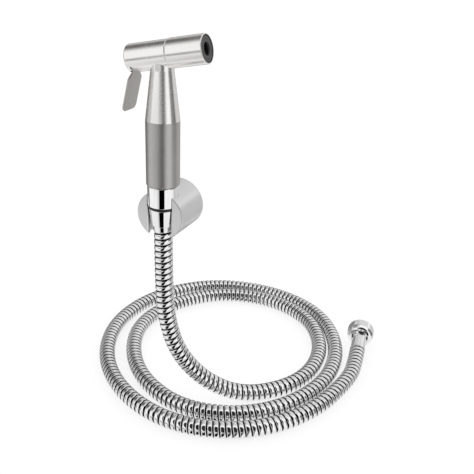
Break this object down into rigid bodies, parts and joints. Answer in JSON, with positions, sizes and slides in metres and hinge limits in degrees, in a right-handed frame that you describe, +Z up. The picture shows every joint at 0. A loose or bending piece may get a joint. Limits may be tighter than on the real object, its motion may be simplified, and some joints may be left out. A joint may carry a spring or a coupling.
{
  "type": "handheld bath sprayer",
  "caption": "Stainless trigger spray gun standing in a round slotted wall holder, on a flexible metal hose that lies in loose turns and ends in a round union nut.",
  "frame": {"origin": "centre of the holder's wall face", "axes": "+Y into the wall, +X the way the nozzle points, +Z up along the upright handset"},
  "size_m": [0.2459, 0.2469, 0.301],
  "materials": {
    "holder_chrome": "polished",
    "plate_steel": "brushed",
    "screw_steel": "plain",
    "hose_chrome": "polished",
    "liner_rubber": "matt",
    "brass": "machined",
    "chrome": "mirror",
    "ring_black": "moulded",
    "black_rubber": "matt",
    "face_rubber": "matt, turned rings",
    "steel_satin": "satin",
    "steel_bright": "fine brushed",
    "lever_steel": "tumbled matt",
    "tube_white": "extruded",
    "black_plastic": "moulded",
    "spring_steel": "drawn wire"
  },
  "bodies": {
    "bracket": {"holder_body": "holder_chrome", "wall_plate": "plate_steel", "holder_grub_screw": "screw_steel", "hose_armour": "hose_chrome", "hose_liner": "liner_rubber", "supply_tail": "brass", "supply_ferrule": "chrome"},
    "hose_end": {"swivel_ring": "ring_black", "hose_cone": "chrome", "hose_ferrule": "chrome", "hose_tail": "brass"},
    "handset": {"collar_nut": "chrome", "inlet_washer": "black_rubber", "inlet_filter": "plate_steel", "inlet_nipple": "brass", "grip_sleeve": "steel_satin", "handle_neck": "steel_bright", "water_tube": "tube_white", "water_tube_o_rings": "black_rubber", "barrel_body": "steel_bright", "barrel_cap": "steel_bright", "gland_circlip": "screw_steel", "nozzle_sleeve": "steel_bright", "sleeve_gasket": "black_rubber", "nozzle_insert": "black_plastic", "nozzle_face_ring": "face_rubber", "spray_plate": "plate_steel", "flow_regulator": "black_plastic", "lever_pin": "screw_steel", "valve_gland": "brass", "stem_o_ring": "black_rubber", "gland_o_ring": "black_rubber", "valve_seat": "brass", "valve_spring": "spring_steel"},
    "trigger": {"trigger_lever": "lever_steel"},
    "valve": {"valve_stem": "screw_steel", "stem_head": "screw_steel", "disc_holder": "brass", "valve_disc": "black_rubber"},
    "union": {"supply_nut": "chrome", "supply_washer": "black_rubber"}
  },
  "joints": [
    {"name": "lift_out", "type": "slide", "parent": "bracket", "child": "hose_end", "axis": [0, 0, 1], "range_m": [0, 0.03]},
    {"name": "handset_swivel", "type": "hinge", "parent": "hose_end", "child": "handset", "pos_m": [0, -0.028, 0.007], "axis": [0, 0, 1], "continuous": true},
    {"name": "trigger_press", "type": "hinge", "parent": "handset", "child": "trigger", "pos_m": [-0.01942, -0.028, 0.103], "axis": [0, -1, 0], "range_deg": [0, 20], "stiffness_Nm_per_rad": 0.15, "springref_deg": -40.11},
    {"name": "valve_slide", "type": "slide", "parent": "handset", "child": "valve", "axis": [-0.9806, 0, -0.1959], "range_m": [0, 0.00125], "deforming": ["valve_spring"]},
    {"name": "union_spin", "type": "hinge", "parent": "bracket", "child": "union", "pos_m": [0.1329, 0.1061, -0.1621], "axis": [-0.1146, 0.988, 0.1037], "continuous": true}
  ],
  "couplings": [
    {"joint": "valve_slide", "follows": "trigger_press", "m_per_rad": 0.0035}
  ]
}
